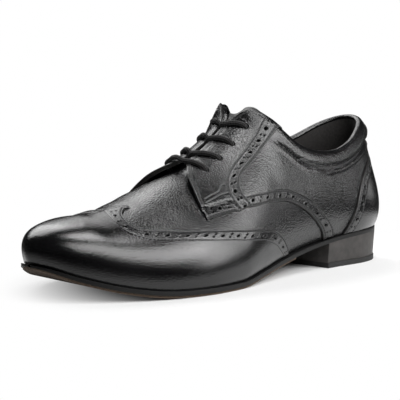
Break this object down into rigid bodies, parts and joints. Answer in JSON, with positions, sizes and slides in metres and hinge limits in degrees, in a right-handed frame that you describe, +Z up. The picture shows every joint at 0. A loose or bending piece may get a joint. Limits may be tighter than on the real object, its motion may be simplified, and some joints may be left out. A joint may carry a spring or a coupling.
{
  "type": "ballroom dance shoe",
  "caption": "Low black leather lace-up dance shoe for the left foot, with a perforated wing cap, padded collar, thin suede sole and low block heel.",
  "frame": {"origin": "centre of the bounding box's bottom face, on the floor that heel and forefoot stand on", "axes": "-X toward the toe, +X toward the heel; -Y the outer side of the foot, +Y the inner side; +Z up"},
  "size_m": [0.2786, 0.0958, 0.0984],
  "materials": {
    "upper_leather": "black smooth leather, soft gloss",
    "overlay_leather": "black smooth leather, soft gloss",
    "tongue_leather": "black leather, satin",
    "insole_lining": "dark lining, matte",
    "sole_leather": "black dressed sole edge, satin",
    "sole_suede": "tan suede nap",
    "heel_stack": "dark grey-brown, matte",
    "heel_rubber": "black rubber, matte",
    "lace": "black round cotton lace"
  },
  "bodies": {
    "root": {"upper": "upper_leather", "wing_cap": "overlay_leather", "quarter_outer": "overlay_leather", "quarter_inner": "overlay_leather", "facing_outer": "overlay_leather", "facing_inner": "overlay_leather", "counter": "overlay_leather", "tongue": "tongue_leather", "insole": "insole_lining", "outsole": "sole_leather", "suede_sole": "sole_suede", "heel_block": "heel_stack", "heel_top_piece": "heel_rubber", "lace_bar": "lace", "lace_cross_1": "lace", "lace_cross_2": "lace", "lace_cross_3": "lace"}
  },
  "joints": []
}
